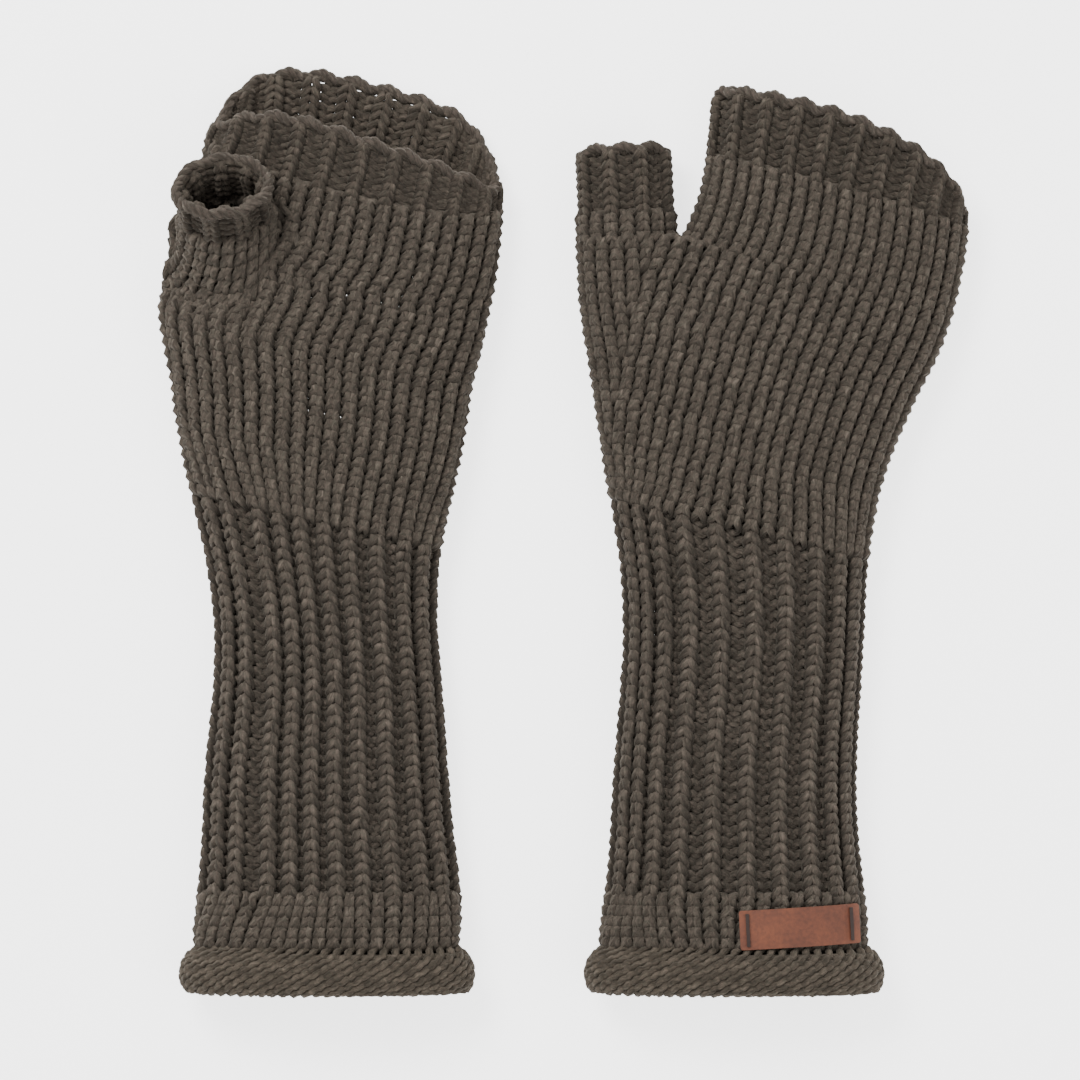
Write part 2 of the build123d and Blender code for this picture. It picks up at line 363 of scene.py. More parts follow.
def mesh_of(name, corners, quads, maps=None):
    """Object with a mesh of four-sided faces, in metres"""
    mesh = bpy.data.meshes.new(name)
    mesh.vertices.add(len(corners))
    mesh.vertices.foreach_set("co", (corners * 0.001).astype(np.float32).ravel())
    mesh.loops.add(len(quads) * 4)
    mesh.loops.foreach_set("vertex_index", quads.astype(np.int32).ravel())
    mesh.polygons.add(len(quads))
    mesh.polygons.foreach_set("loop_start", np.arange(len(quads), dtype=np.int32) * 4)
    mesh.polygons.foreach_set("loop_total", np.full(len(quads), 4, np.int32))
    mesh.polygons.foreach_set("use_smooth", np.ones(len(quads), bool))
    mesh.update()
    mesh.validate()
    if maps is not None:
        layer = mesh.uv_layers.new(name="yarn")
        layer.data.foreach_set("uv", (maps * np.array([0.01, 1.0])).astype(np.float32).ravel())
    piece = bpy.data.objects.new(name, mesh)
    bpy.context.scene.collection.objects.link(piece)
    return piece


# ---------------------------------------------------------------- materials


def nodes_of(name):
    """New material and its empty node tree"""
    material = bpy.data.materials.new(name)
    material.use_nodes = True
    tree = material.node_tree
    tree.nodes.clear()
    return material, tree


def link(tree, a, b):
    """Join an output to an input"""
    tree.links.new(a, b)


def colour(screen):
    """Linear colour from screen values of 0 to 255"""
    shares = [c / 255 for c in screen]
    return tuple(c / 12.92 if c <= 0.04045 else ((c + 0.055) / 1.055) ** 2.4 for c in shares) + (1.0,)


def wool(name, dark, middle, light):
    """Heathered wool: three twisted plies of fine fibres, flecked with darker and paler tufts, with painted
    shade in the grooves between plies and in the hollows of each stitch
    """
    material, tree = nodes_of(name)
    new = tree.nodes.new
    where = new("ShaderNodeUVMap")
    where.uv_map = "yarn"
    parts = new("ShaderNodeSeparateXYZ")
    link(tree, where.outputs["UV"], parts.inputs["Vector"])
    along, round_ = parts.outputs["X"], parts.outputs["Y"]

    def maths(operation, a, b=None, c=None):
        node = new("ShaderNodeMath")
        node.operation = operation
        for socket, value in zip(node.inputs, (a, b, c)):
            if isinstance(value, (int, float)):
                socket.default_value = value
            elif value is not None:
                link(tree, value, socket)
        return node.outputs["Value"]

    def noise(x, y, detail, rough=0.55):
        place = new("ShaderNodeCombineXYZ")
        link(tree, x, place.inputs["X"])
        link(tree, y, place.inputs["Y"])
        node = new("ShaderNodeTexNoise")
        node.inputs["Scale"].default_value = 1.0
        node.inputs["Detail"].default_value = detail
        node.inputs["Roughness"].default_value = rough
        link(tree, place.outputs["Vector"], node.inputs["Vector"])
        return node.outputs["Fac"]

    def ramp(value, stops):
        node = new("ShaderNodeValToRGB")
        elements = node.color_ramp.elements
        elements[0].position, elements[0].color = stops[0]
        elements[1].position, elements[1].color = stops[-1]
        for place, tint in stops[1:-1]:
            elements.new(place).color = tint
        link(tree, value, node.inputs["Fac"])
        return node.outputs["Color"]

    def grey(value):
        return (value, value, value, 1.0)

    def multiplied(a, b):
        node = new("ShaderNodeMix")
        node.data_type = "RGBA"
        node.blend_type = "MULTIPLY"
        node.inputs["Factor"].default_value = 1.0
        link(tree, a, node.inputs["A"])
        link(tree, b, node.inputs["B"])
        return node.outputs["Result"]

    twist = maths("MULTIPLY_ADD", round_, 3.0, maths("MULTIPLY", along, 11.0))
    plies = maths("MULTIPLY_ADD", maths("SINE", maths("MULTIPLY", twist, 2 * math.pi)), 0.5, 0.5)
    fibres = noise(maths("MULTIPLY", twist, 6.0), maths("MULTIPLY", along, 55.0), 4.0, 0.7)
    tufts = noise(maths("MULTIPLY", twist, 0.9), maths("MULTIPLY", along, 22.0), 3.0)
    heather = noise(maths("MULTIPLY", twist, 2.3), maths("MULTIPLY", along, 120.0), 2.0)

    tint = ramp(tufts, [(0.33, dark), (0.5, middle), (0.68, light)])
    shade = ramp(fibres, [(0.28, grey(0.5)), (0.5, grey(0.95)), (0.74, grey(1.6))])
    flecks = ramp(heather, [(0.3, (0.80, 0.84, 0.80, 1)), (0.7, (1.22, 1.14, 1.12, 1))])
    # painted shade in the grooves between the plies
    painted_ply_shade = ramp(plies, [(0.0, grey(0.72)), (0.45, grey(1.0))])
    # painted shade from the crown attribute: darker where the yarn lies sunk in a stitch, with a painted
    # highlight on raised parts
    crown = new("ShaderNodeAttribute")
    crown.attribute_name = "crown"
    depth = ramp(crown.outputs["Fac"], [(0.0, grey(0.52)), (0.5, grey(0.98)), (1.0, grey(1.18))])
    skin = multiplied(multiplied(multiplied(multiplied(tint, shade), flecks), painted_ply_shade), depth)

    height = maths("MULTIPLY_ADD", plies, 0.7, maths("MULTIPLY", fibres, 0.9))
    bump = new("ShaderNodeBump")
    bump.inputs["Strength"].default_value = 1.0
    bump.inputs["Distance"].default_value = 0.0005
    link(tree, height, bump.inputs["Height"])

    body = new("ShaderNodeBsdfPrincipled")
    body.inputs["Roughness"].default_value = 0.95
    body.inputs["Specular IOR Level"].default_value = 0.12
    body.inputs["Sheen Weight"].default_value = 0.08
    body.inputs["Sheen Roughness"].default_value = 0.5
    body.inputs["Sheen Tint"].default_value = (0.75, 0.68, 0.56, 1)
    link(tree, skin, body.inputs["Base Color"])
    link(tree, bump.outputs["Normal"], body.inputs["Normal"])
    out = new("ShaderNodeOutputMaterial")
    link(tree, body.outputs["BSDF"], out.inputs["Surface"])
    return material


MATERIALS = {
    "plain_knit": wool("plain_knit_wool", colour((58, 53, 48)), colour((69, 63, 57)), colour((81, 75, 68))),
    "rib_knit": wool("rib_knit_wool", colour((58, 53, 48)), colour((70, 64, 58)), colour((84, 77, 70))),
    "hem_knit": wool("hem_knit_wool", colour((56, 51, 45)), colour((67, 61, 54)), colour((80, 73, 65))),
    "edge_knit": wool("edge_knit_wool", colour((53, 48, 43)), colour((63, 57, 52)), colour((76, 70, 64))),
    # the finger and thumb ribs' wool: the rib wool made darker as painted shade
    "finger_knit_shaded": wool("finger_knit_wool", colour((54, 49, 44)), colour((65, 59, 53)), colour((76, 70, 63))),
}


def finish_piece(piece, node):
    """Material, slot and stand-in for one CAD node"""
    # the finger and thumb ribs get the darker wool, a painted shade
    in_painted_shade = node.endswith(("finger_rib", "thumb_rib"))
    piece.data.materials.append(MATERIALS["finger_knit_shaded" if in_painted_shade else SLOTS[node]])
    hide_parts(node)
    return piece


# ---------------------------------------------------------------- one glove


def between(line_a, line_b, share):
    """Line part of the way from one line to another"""
    return [np.array(a) * (1 - share) + np.array(b) * share for a, b in zip(line_a, line_b)]


def rib_limits(side, points):
    """Limits of the columns round a cuff, knit and purl in turn, in millimetres along its ring"""
    along = along_ring(points)
    way = points[HALF] - points[0]
    width = np.linalg.norm(way)
    reach = (points[: HALF + 1] - points[0]) @ (way / width)
    steps = np.array(RIB_STEPS[side])
    share = np.concatenate([[0], np.cumsum(steps)]) / steps.sum()
    spread = RIB_SPREAD[side]
    front = np.interp(((1 - spread) / 2 + share * spread) * width, reach, along[: HALF + 1])
    beneath = CUFF_COLUMNS // 4
    gap = (along[-1] + front[0] - front[-1]) / (beneath + 1)
    middles = np.concatenate([front, front[-1] + gap * np.arange(1, beneath + 1)])
    after = np.diff(np.append(middles, middles[0] + along[-1]))
    wide = np.minimum(RIB_WIDE, 0.62 * np.minimum(after, np.roll(after, 1)) + 0.8)
    limits = np.stack([middles - wide / 2, middles + wide / 2], 1).ravel()
    return np.append(limits, limits[0] + along[-1])


def even_limits(points):
    """Limits of even columns, half of them on each side, in millimetres along their ring"""
    along, count = along_ring(points), CUFF_COLUMNS // 2 + 1
    front = np.linspace(0, along[HALF], count)
    return np.concatenate([front[:-1], np.linspace(along[HALF], along[-1], count)])


def thumb_shape(side):
    """Frame and size of the thumb tube from the flat ends of its rib"""
    mesh = frame["nodes"][side + "_thumb_rib"].data
    groups = {}
    for face in mesh.polygons:
        n = face.normal
        key = (round(n.x, 2), round(n.y, 2), round(n.z, 2), round(n.dot(face.center) * 2000))
        area, points = groups.get(key, (0.0, []))
        points += [mesh.vertices[i].co * 1000 for i in face.vertices]
        groups[key] = (area + face.area, points)
    shapes = [np.array(points) for _, points in sorted(groups.values(), key=lambda g: -g[0])[:2]]
    middles = [(p.max(0) + p.min(0)) / 2 for p in shapes]
    order = np.argsort([m[1] for m in middles])
    low, high = middles[order[0]], middles[order[1]]
    axis = (high - low) / np.linalg.norm(high - low)
    across = np.cross(axis, [0, 0, 1.0])
    across /= np.linalg.norm(across)
    tall = np.cross(across, axis)
    sizes = []
    for k in order:
        rel = shapes[k] - middles[k]
        sizes.append((np.abs(rel @ across).max(), np.abs(rel @ tall).max()))
    return low, high, axis, across, tall, sizes


def thumb_ring(shape, share):
    """Ring round the thumb tube, by its place between the rib's ends, from the left over the top"""
    low, high, axis, across, tall, sizes = shape
    middle = low + (high - low) * share
    held = min(max(share, 0.0), 1.0)
    wide, deep = (sizes[0][k] * (1 - held) + sizes[1][k] * held for k in (0, 1))
    turn = np.linspace(np.pi, -np.pi, 2 * HALF, endpoint=False)
    return middle + wide * np.cos(turn)[:, None] * across + deep * np.sin(turn)[:, None] * tall


def slouched(shape, root, rows, skin):
    """Root rings of the left thumb: a foot that spreads over the palm, mostly hemwards, then rises"""
    foot, top = thumb_ring(shape, root), thumb_ring(shape, 0.0)
    away = foot - foot.mean(0)
    away[:, 2] = 0
    away /= np.linalg.norm(away, axis=1)[:, None]
    around, hemward = FOOT_SPREAD
    spread = around + hemward * np.clip(-away[:, 1], 0, 1) ** 1.3
    foot_out = foot + away * spread[:, None]
    for p in foot_out:
        rest = skin.height(p[0], p[1], 0.0, True)
        p[2] = PALM_LEVEL if rest is None else rest - 1.0
    foot = foot + away * (0.3 * (spread - around))[:, None]
    for _ in range(10):
        foot_out = (np.roll(foot_out, 1, 0) + 2 * foot_out + np.roll(foot_out, -1, 0)) / 4
    found = []
    for k in range(rows):
        f = (k + 0.3) / rows
        found.append((1 - f) ** 2 * foot_out + 2 * f * (1 - f) * foot + f * f * top)
    return np.array(found)


def cut_out(loop, middle, across, wide, deep, above):
    """The same loop as an open strand, without its part inside an oval that is above a height"""
    line = loop["line"]
    flat = line - middle
    way = np.array([across[0], across[1], 0.0])
    way /= np.linalg.norm(way)
    beside = np.array([-way[1], way[0], 0.0])
    inside = ((flat @ way / wide) ** 2 + (flat @ beside / deep) ** 2 < 1) & (line[:, 2] > above)
    if not inside.any():
        return loop
    last = np.flatnonzero(inside)[-1] + 1
    order = np.roll(np.arange(len(line)), -last)
    order = order[~inside[order]]
    kept = {key: loop[key][order] for key in ("line", "out", "radius", "shade")}
    return Loop(kept, open=True)


def ropes(rows, outs, count, slant, pitch=3.0, swing=0.16, radius=1.16):
    """Lumpy strands that cross a stack of rings at a slant, side by side all the way round"""
    loops = []
    depth = np.linspace(0, len(rows) - 1, 5 * len(rows))
    lower = np.minimum(depth.astype(int), len(rows) - 2)
    part = (depth - lower)[:, None]
    for n in range(count):
        line, normal = [], []
        for k in (0, 1):
            picks = [(r + k, np.array([s])) for r, s in zip(lower, n / count - slant * depth)]
            line.append(np.vstack([on_ring(rows[r], rows[r], s) for r, s in picks]))
            normal.append(np.vstack([on_ring(rows[r], outs[r], s) for r, s in picks]))
        line = line[0] * (1 - part) + line[1] * part
        normal = normal[0] * (1 - part) + normal[1] * part
        way = np.gradient(line, axis=0)
        side = np.cross(way, normal)
        side /= np.linalg.norm(side, axis=1)[:, None]
        run = np.concatenate([[0], np.cumsum(np.linalg.norm(np.diff(line, axis=0), axis=1))])
        turn = 2 * np.pi * run / pitch + RNG.uniform(0, 2.0)
        line = line + side * (swing * np.cos(turn))[:, None] + normal * (swing * np.sin(turn))[:, None]
        thick = radius * (1 + 0.09 * np.sin(turn + 0.8) + 0.03 * RNG.standard_normal(len(turn)))
        loops.append(Loop(line=line, out=normal, radius=thick, open=True))
    return loops


def bind_off(points, out, count, scallop, up, first=0.0):
    """Bound-off edge: two strands that cross along a ring, in low humps, the first hump this far along"""
    loops = []
    along = along_ring(points)
    steps = 10
    t = np.arange(count * steps) / (count * steps)
    place = (t * along[-1] + first) % along[-1]

    def at(values):
        values = np.vstack([values, values[:1]])
        return np.stack([np.interp(place, along, values[:, k]) for k in range(3)], 1)

    base, normal, rise = at(points), at(out), at(up)
    turn = 2 * np.pi * count * t
    hump = scallop * np.cos(turn / 2)
    for shift in (0, np.pi):
        sway = 0.7 * np.sin(turn + shift)
        bob = 0.55 * np.cos(turn + shift)
        line = base + rise * (hump + bob)[:, None] + normal * sway[:, None]
        loops.append(Loop(line=line, out=normal, radius=EDGE_YARN))
    return loops


def forked_courses(side, shape, wrist, fingers, count):
    """Courses of the right hand below the fork, as lines in plan that bend there, and the line above it"""
    low, high, axis, across, tall, sizes = shape
    base = low - axis * np.linalg.norm(high - low) * FORK_DEPTH
    left_end = base - across * sizes[0][0]
    fork = base + across * sizes[0][0]
    both = Skin(*[f"{side}_{part}" for part in (*MAIN_PARTS, "thumb_root", "thumb_rib")])
    found = []
    for k in range(FORK_ROWS):
        f = (k + 0.5) / FORK_ROWS
        share = (k + 0.5) / count
        a = wrist[1][0] * (1 - f) + left_end[:2] * f
        b = wrist[1][0] * (1 - f) + fork[:2] * f
        c = wrist[1][1] * (1 - share) + fingers[1] * share
        b = b + (a - b) * max(0.0, 0.12 - f) * 4
        found.append(("hand", both, [a, b, c], 0.0))
    start_share = FORK_ROWS / count
    end = wrist[1][1] * (1 - start_share) + fingers[1] * start_share
    return found, (fork[:2], end)


def named(side):
    """Function that turns a part's name into its full name in one glove"""
    return lambda part: f"{side}_{part}"


def rim_rings(side, main, fingers):
    """Rings of the finger rib and its edge, from the hand to the curved rim"""
    lean, name = RIM_LEAN[side], named(side)
    edge = Skin(name("finger_edge"))
    edge_low, edge_high = (np.array(corner) * 1000 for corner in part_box(name("finger_edge")))
    rim = []
    for x in np.linspace(edge_low[0] + 0.4, edge_high[0] - 0.4, 60):
        hits = [(edge.forward(x, z), z) for z in RIM_HEIGHTS]
        hits = [y + lean * z for y, z in hits if y is not None]
        if hits:
            rim.append((x, max(hits)))
    rim = np.array(rim)
    onward = np.array([fingers[0][1] - fingers[1][1], fingers[1][0] - fingers[0][0]])
    onward = onward / np.linalg.norm(onward) * 7
    start = ring(main, [p + [0, lean * TOP_LEVEL] for p in fingers], lean)
    later = ring(main, [p + [0, lean * TOP_LEVEL] + onward for p in fingers], lean)
    way = later - start
    way[:, 2] = 0
    for _ in range(12):
        way = (np.roll(way, 1, 0) + 2 * way + np.roll(way, -1, 0)) / 4
    way /= np.linalg.norm(way, axis=1)[:, None]
    run = np.zeros(len(start))
    for _ in range(25):
        now = start + way * run[:, None]
        run += 0.8 * (np.interp(now[:, 0], rim[:, 0], rim[:, 1]) - lean * now[:, 2] - now[:, 1])
    share = (start[:, 0] - start[:, 0].min()) / np.ptp(start[:, 0])
    run -= RIM_SAG[side] * np.clip(share * 1.6 - 0.25, 0, 1) * np.clip((start[:, 2] - 8) / 10, 0, 1)
    reach = np.abs(start[:, 0] - start[:, 0].mean())
    run -= CORNER_DROP * np.clip(reach / reach.max() * 8 - 7, 0, 1) ** 2
    shares = [(k + 0.5) / (RIM_ROWS + 0.5) for k in range(RIM_ROWS + 1)]
    return [start + way * (run * share)[:, None] for share in shares]


def main_tube(side, main, shape, band, wrist):
    """Rings of the main tube from hem to rim, their outward directions, sections and unbroken stretches"""
    fingers = flat_ends(side + "_finger_rib")[0]
    count = HAND_ROWS[side]
    courses = []

    def add(part, line_a, line_b, rows):
        for k in range(rows):
            courses.append((part, main, between(line_a, line_b, (k + 0.5) / rows), 0.0))

    add("hem_band", band[0], band[1], BAND_ROWS)
    add("cuff_rib", band[1], wrist[0], CUFF_ROWS)
    add("wrist", wrist[0], wrist[1], WRIST_ROWS)
    if side == "right":
        below, onward = forked_courses(side, shape, wrist, fingers, count)
        courses += below
        add("hand", onward, fingers, count - FORK_ROWS)
    else:
        # the palm side of the left glove has ridden down, so its courses lean back towards the fingers
        for k in range(count):
            share = (k + 0.5) / count
            tip = RIM_LEAN[side] * max(0.0, (share - 0.3) / 0.7) ** 1.2
            path = [p + [0, tip * TOP_LEVEL] for p in between(wrist[1], fingers, share)]
            courses.append(("hand", main, path, tip))
    parts = [course_part for course_part, *_ in courses] + ["finger_rib"] * RIM_ROWS + ["finger_edge"]
    rings = [ring(skin, path, lean) for _, skin, path, lean in courses]
    rings = np.array(rings + rim_rings(side, main, fingers))

    first_hand, first_rib = parts.index("hand"), parts.index("finger_rib")
    if side == "right":
        split = first_hand + FORK_ROWS
        rings = smoothed(rings, 3, first_hand + 1, split - 1)
        rings = smoothed(rings, 2, split + 1, first_rib)
        groups = [(0, split), (split, len(parts))]
    else:
        # the palm swells out beside the thumb
        middle, length, swell = THUMB_SWELL
        along = np.exp(-(((rings[..., 1] - middle) / length) ** 2))
        rings[..., 0] -= swell * along * np.clip(1 - (rings[..., 0] + 116) / 16, 0, 1)
        rings = smoothed(rings, 3, first_hand + 1, first_rib)
        groups = [(0, len(parts))]
    return rings, np.concatenate([normals_of(rings[a:b]) for a, b in groups]), parts, groups


def hand_columns(side, points, k):
    """Limits in millimetres and names of the columns of one course of the hand, counted from the wrist"""
    total = along_ring(points)[-1]
    first = FIRST_COLUMN[side]
    mix = min(1.0, (k + 1) / 7)
    limits = rib_limits(side, points) * (1 - mix) + even_limits(points) * mix
    grown = (k + 0.5) / FORK_ROWS if k < FORK_ROWS else 0.0
    spare = GUSSET_COLUMNS[side] // 2
    extra = np.clip(grown * spare - np.arange(spare), 0, 1)
    extra = extra[extra > 0.25] * total / (CUFF_COLUMNS + 2 * extra.sum())
    begin = limits[first]
    if side == "left":
        share = k / HAND_ROWS[side]
        begin = begin * (1 - share) + GUSSET_MIDDLE * share
    elif k >= FORK_ROWS:
        begin = 0.0
    base = np.roll(np.diff(limits), -first)
    base = base * (total - 2 * extra.sum()) / base.sum()
    limits = begin + np.concatenate([[0], np.cumsum(np.concatenate([extra, base, extra[::-1]]))])
    new = np.arange(len(extra))
    names = np.concatenate([100 + new, np.roll(np.arange(CUFF_COLUMNS), -first), 200 - new])
    return limits, names


def main_rows(side, rings, out, parts):
    """Courses of the main tube, ready to knit"""
    rows = []
    for i, part in enumerate(parts):
        total = along_ring(rings[i])[-1]
        faces, stitch, steps = np.tile([1.0, -1.0], CUFF_COLUMNS // 2), RIB, 14
        names = np.arange(CUFF_COLUMNS)
        if part in ("cuff_rib", "wrist"):
            limits = rib_limits(side, rings[i])
        elif part == "hem_band":
            share = (i + 1) / BAND_ROWS
            limits = rib_limits(side, rings[i]) * share + even_limits(rings[i]) * (1 - share)
            faces, stitch = np.ones(CUFF_COLUMNS), PLAIN
        elif part == "hand":
            limits, names = hand_columns(side, rings[i], i - parts.index("hand"))
            faces, stitch, steps = np.ones(len(names)), PLAIN, 13
        else:
            wide = np.diff(even_limits(rings[i])) * np.tile([0.86, 1.14], CUFF_COLUMNS // 2)
            wide = np.roll(wide, -FIRST_COLUMN[side])
            names = np.roll(names, -FIRST_COLUMN[side])
            limits = np.concatenate([[0], np.cumsum(wide)]) * total / wide.sum()
            limits = limits + (GUSSET_MIDDLE if side == "left" else 0.0)
            stitch = RIM
        row = Row(ring=rings[i], out=out[i], limits=limits / total, faces=faces, names=names, stitch=stitch)
        row.update(steps=steps)
        rows.append(row)
    return rows


def hem_loops(side, band, first, wall_out):
    """Strands of the rolled hem, purl side out, from under the band round to the inside of the roll"""
    name = named(side)
    hem = Skin(name("rolled_hem"))
    top_y = band[0][0][1]
    depth = top_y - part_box(name("rolled_hem"))[0].y * 1000
    rolled = []
    for down in HEM_STATIONS:
        rolled.append(ring(hem, [np.array([p[0], top_y - down * depth]) for p in band[0]]))
    rolled = np.array(rolled)
    rolled_out = normals_of(rolled)
    rolled_out *= -1 if rolled_out[3, HALF // 2, 2] < 0 else 1
    rolled = rolled - rolled_out * 1.2
    lip = rolled[-1] - rolled_out[0] * 1.9
    lip[:, 1] = top_y - depth + 2.9
    at_hem = first + [0, top_y - first[:, 1].mean(), 0]
    walls = [at_hem - wall_out * inset - [0, down, 0] for inset, down in HEM_WALLS]
    tuck = at_hem - wall_out * 1.7 + [0, 1.2, 0]
    stack = np.array([tuck, *rolled, lip, *walls])
    lip_out = np.broadcast_to([0, -1.0, 0], lip.shape)
    stack_out = np.array([rolled_out[0], *rolled_out, lip_out, *([-wall_out] * len(walls))])
    loops = ropes(stack, stack_out, HEM_ROPES, HEM_SLANT)
    # thick strands under the ropes, so that nothing shows between them, with a shade of 0.45: a little
    # painted shade between the ropes
    for k in range(len(rolled) + 1):
        under = stack[k] - stack_out[k] * (0.9 if k else 0.3)
        loops.append(Loop(line=under, out=stack_out[k], radius=1.35, shade=0.45))
    return loops


def thumb_loops(side, shape, main):
    """Loops of the thumb's root, rib and edge"""
    low, high, axis, across, tall, sizes = shape
    span = np.linalg.norm(high - low)
    root_rows, rib_rows = ROOT_ROWS[side], THUMB_ROWS[side]
    root_share = -ROOT_LENGTH[side] / span
    shares = [root_share * (1 - (k + 0.5) / root_rows) for k in range(root_rows)]
    shares += [(k + 0.5) / (rib_rows + 0.4) for k in range(rib_rows)]
    shares.append(1.0)
    stack = np.array([thumb_ring(shape, s) for s in shares])
    if side == "left":
        # the rim opens out a little and turns down
        stack[:root_rows] = slouched(shape, root_share, root_rows, main)
        away = stack[-1] - stack[-1].mean(0)
        away /= np.linalg.norm(away, axis=1)[:, None]
        for k in range(root_rows, len(stack)):
            over = max(0.0, shares[k] - 0.6) / 0.4
            stack[k] += away * 1.5 * over * over - axis * 1.2 * over
    reach = np.abs((stack - stack.mean(1)[:, None]) @ across)
    corner = np.clip(reach / reach.max(1)[:, None] * 4 - 3, 0, 1) ** 2
    for k in range(root_rows, len(stack)):
        stack[k] -= axis * (CORNER_DROP * max(0.0, shares[k] - 0.5) * 2 * corner[k])[:, None]
    stack_out = normals_of(stack)
    rows = []
    for k in range(len(shares) - 1):
        root = k < root_rows
        count = FOOT_COLUMNS[side] if root else THUMB_COLUMNS
        widths = np.ones(count) if root else np.tile([1.1, 0.9], count // 2)
        faces = np.ones(count) if root else np.tile([1.0, -1.0], count // 2)
        limits, stitch = columns(widths, 0.5 / count), PLAIN if root else RIM
        row = Row(ring=stack[k], out=stack_out[k], limits=limits, faces=faces, stitch=stitch)
        row.update(names=np.arange(count), steps=14)
        rows.append(row)
    loops = {"thumb_root": knit(rows[:root_rows]), "thumb_rib": knit(rows[root_rows:])}
    rim, rim_out = stack[-1], stack_out[-1]
    up = np.broadcast_to(axis, rim.shape)
    loops["thumb_edge"] = bind_off(rim - rim_out * EDGE_INSET, rim_out, THUMB_COLUMNS, 0.6, up)
    return loops


def make_glove(side):
    """All the yarn of one glove, in one piece for each CAD section, riding on the glove's bodies"""
    name = body = named(side)
    main = Skin(*map(name, MAIN_PARTS))
    shape = thumb_shape(side)
    band, wrist = flat_ends(name("hem_band")), flat_ends(name("wrist"))
    rings, out, parts, groups = main_tube(side, main, shape, band, wrist)
    rows = main_rows(side, rings, out, parts)
    loops = {}
    for a, b in groups:
        last = b - 1 if parts[b - 1] == "finger_edge" else b
        for part, loop in zip(parts[a:last], knit(rows[a:last])):
            loops.setdefault(part, []).append(loop)
    up = rings[-1] - rings[-2]
    up /= np.linalg.norm(up, axis=1)[:, None]
    humps = (rows[-1]["limits"][0] + rows[-1]["limits"][1]) / 2 * along_ring(rings[-1])[-1]
    loops["finger_edge"] = bind_off(rings[-1] - out[-1] * EDGE_INSET, out[-1], CUFF_COLUMNS, 0.8, up, humps)
    loops["rolled_hem"] = hem_loops(side, band, rings[0], out[0])
    loops.update(thumb_loops(side, shape, main))

    low, high, axis, across, tall, sizes = shape
    root_foot = low - axis * ROOT_LENGTH[side]
    if side == "left":
        # no palm yarn shows through the mouth of the thumb
        wide, deep = sizes[0][0] - 1.5, sizes[0][1] - 1.5
        loops["hand"] = [cut_out(loop, root_foot, across, wide, deep, PALM_LEVEL) for loop in loops["hand"]]

    made = {}
    for part, found in loops.items():
        sides = 5 if part == "hand" else 6
        made[part] = finish_piece(tubes(f"{side}_{part}_yarn", found, sides), name(part))

    def middle(line):
        return (*((line[0] + line[1]) / 2 * 0.001), FABRIC_MIDDLE)

    for part in ("rolled_hem", "hem_band", "cuff_rib"):
        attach(made[part], body("cuff"))
    for part in ("hand", "finger_rib", "finger_edge"):
        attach(made[part], body("hand"))
    for part in ("thumb_rib", "thumb_edge"):
        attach(made[part], body("thumb"))
    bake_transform(made["wrist"], body("cuff"), body("hand"), middle(wrist[0]), middle(wrist[1]))
    root_start = root_foot * 0.001
    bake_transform(made["thumb_root"], body("hand"), body("thumb"), tuple(root_start), tuple(low * 0.001))


for side in ("left", "right"):
    make_glove(side)

# ---------------------------------------------------------------- label


def plain_material(name, tint, rough):
    """Grained material with worn patches, for the leather and its thread"""
    material, tree = nodes_of(name)
    new = tree.nodes.new
    where = new("ShaderNodeTexCoord")
    grain = new("ShaderNodeTexNoise")
    grain.inputs["Scale"].default_value = 900.0
    grain.inputs["Detail"].default_value = 5.0
    link(tree, where.outputs["Object"], grain.inputs["Vector"])
    ramp = new("ShaderNodeValToRGB")
    ramp.color_ramp.elements[0].position = 0.3
    ramp.color_ramp.elements[0].color = tuple(c * 0.78 for c in tint[:3]) + (1,)
    ramp.color_ramp.elements[1].position = 0.7
    ramp.color_ramp.elements[1].color = tuple(min(1, c * 1.18) for c in tint[:3]) + (1,)
    link(tree, grain.outputs["Fac"], ramp.inputs["Fac"])
    patches = new("ShaderNodeTexNoise")
    patches.inputs["Scale"].default_value = 110.0
    patches.inputs["Detail"].default_value = 4.0
    link(tree, where.outputs["Object"], patches.inputs["Vector"])
    worn = new("ShaderNodeValToRGB")
    worn.color_ramp.elements[0].position = 0.35
    worn.color_ramp.elements[0].color = (0.78, 0.74, 0.74, 1)
    worn.color_ramp.elements[1].position = 0.65
    worn.color_ramp.elements[1].color = (1.14, 1.12, 1.08, 1)
    link(tree, patches.outputs["Fac"], worn.inputs["Fac"])
    mixed = new("ShaderNodeMix")
    mixed.data_type = "RGBA"
    mixed.blend_type = "MULTIPLY"
    mixed.inputs["Factor"].default_value = 1.0
    link(tree, ramp.outputs["Color"], mixed.inputs["A"])
    link(tree, worn.outputs["Color"], mixed.inputs["B"])
    bump = new("ShaderNodeBump")
    bump.inputs["Strength"].default_value = 0.35
    bump.inputs["Distance"].default_value = 0.0003
    link(tree, grain.outputs["Fac"], bump.inputs["Height"])
    body = new("ShaderNodeBsdfPrincipled")
    body.inputs["Roughness"].default_value = rough
    link(tree, mixed.outputs["Result"], body.inputs["Base Color"])
    link(tree, bump.outputs["Normal"], body.inputs["Normal"])
    out = new("ShaderNodeOutputMaterial")
    link(tree, body.outputs["BSDF"], out.inputs["Surface"])
    return material


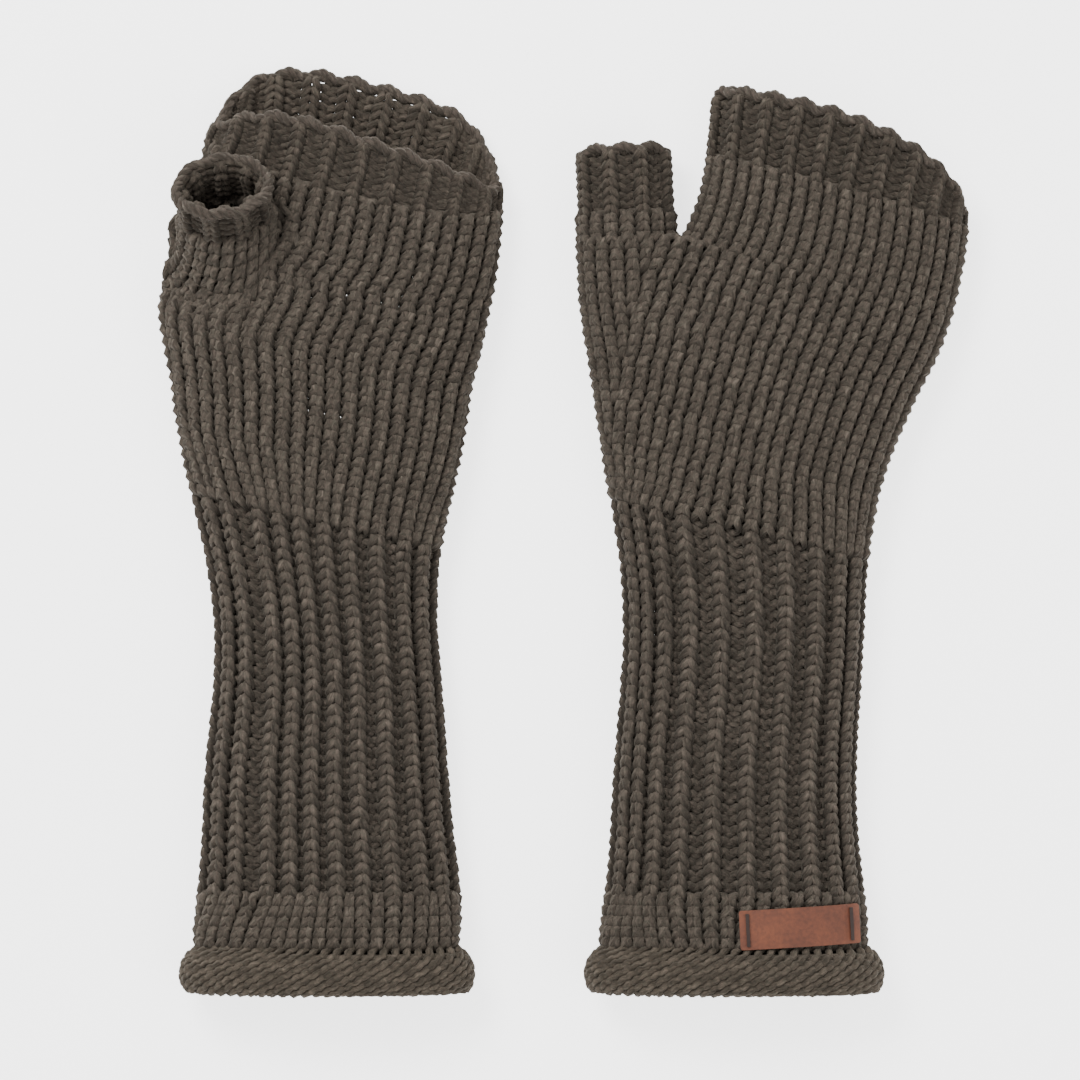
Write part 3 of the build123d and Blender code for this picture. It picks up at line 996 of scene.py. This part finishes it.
leather = plain_material("label_leather_tan", colour((92, 47, 25)), 0.7)
thread = plain_material("label_thread_brown", colour((38, 25, 20)), 0.85)
for node, material in (("label", leather), ("label_stitch_front", thread), ("label_stitch_side", thread)):
    frame["nodes"][node].data.materials.clear()
    frame["nodes"][node].data.materials.append(material)

# ---------------------------------------------------------------- table, light and camera

floor_mesh = bpy.data.meshes.new("floor")
floor_mesh.from_pydata([(-2, -2, 0), (2, -2, 0), (2, 2, 0), (-2, 2, 0)], [], [(0, 1, 2, 3)])
floor = bpy.data.objects.new("floor", floor_mesh)
bpy.context.scene.collection.objects.link(floor)
floor.location.z = -0.0005
paper, tree = nodes_of("floor_paper")
shader = tree.nodes.new("ShaderNodeBsdfPrincipled")
shader.inputs["Base Color"].default_value = (0.9, 0.9, 0.9, 1)
shader.inputs["Roughness"].default_value = 0.9
shader.inputs["Emission Color"].default_value = (1.0, 1.0, 1.0, 1)
shader.inputs["Emission Strength"].default_value = 2.4
result = tree.nodes.new("ShaderNodeOutputMaterial")
tree.links.new(shader.outputs["BSDF"], result.inputs["Surface"])
floor_mesh.materials.append(paper)

world = bpy.data.worlds.new("studio")
bpy.context.scene.world = world
world.use_nodes = True
world.node_tree.nodes["Background"].inputs["Color"].default_value = (1.0, 1.0, 1.0, 1)
world.node_tree.nodes["Background"].inputs["Strength"].default_value = 1.15


def area_light(name, place, aim, size, power):
    """Square lamp at a place, aimed at a point"""
    lamp = bpy.data.lights.new(name, "AREA")
    lamp.size = size
    lamp.energy = power
    lamp_object = bpy.data.objects.new(name, lamp)
    bpy.context.scene.collection.objects.link(lamp_object)
    lamp_object.location = place
    lamp_object.rotation_euler = (Vector(aim) - Vector(place)).to_track_quat("-Z", "Y").to_euler()


area_light("key", (-0.5, 0.7, 1.1), (0, 0, 0), 0.6, 22)
area_light("fill", (0.7, -0.5, 0.9), (0, 0, 0), 1.0, 6)

camera_data = bpy.data.cameras.new("camera")
film, to_gloves, view_width = 36, 1.788, 0.3186
camera_data.sensor_width = film
camera_data.lens = film * to_gloves / view_width
camera = bpy.data.objects.new("camera", camera_data)
bpy.context.scene.collection.objects.link(camera)
camera.location = (-0.0074, -0.0010, 1.8)
bpy.context.scene.camera = camera
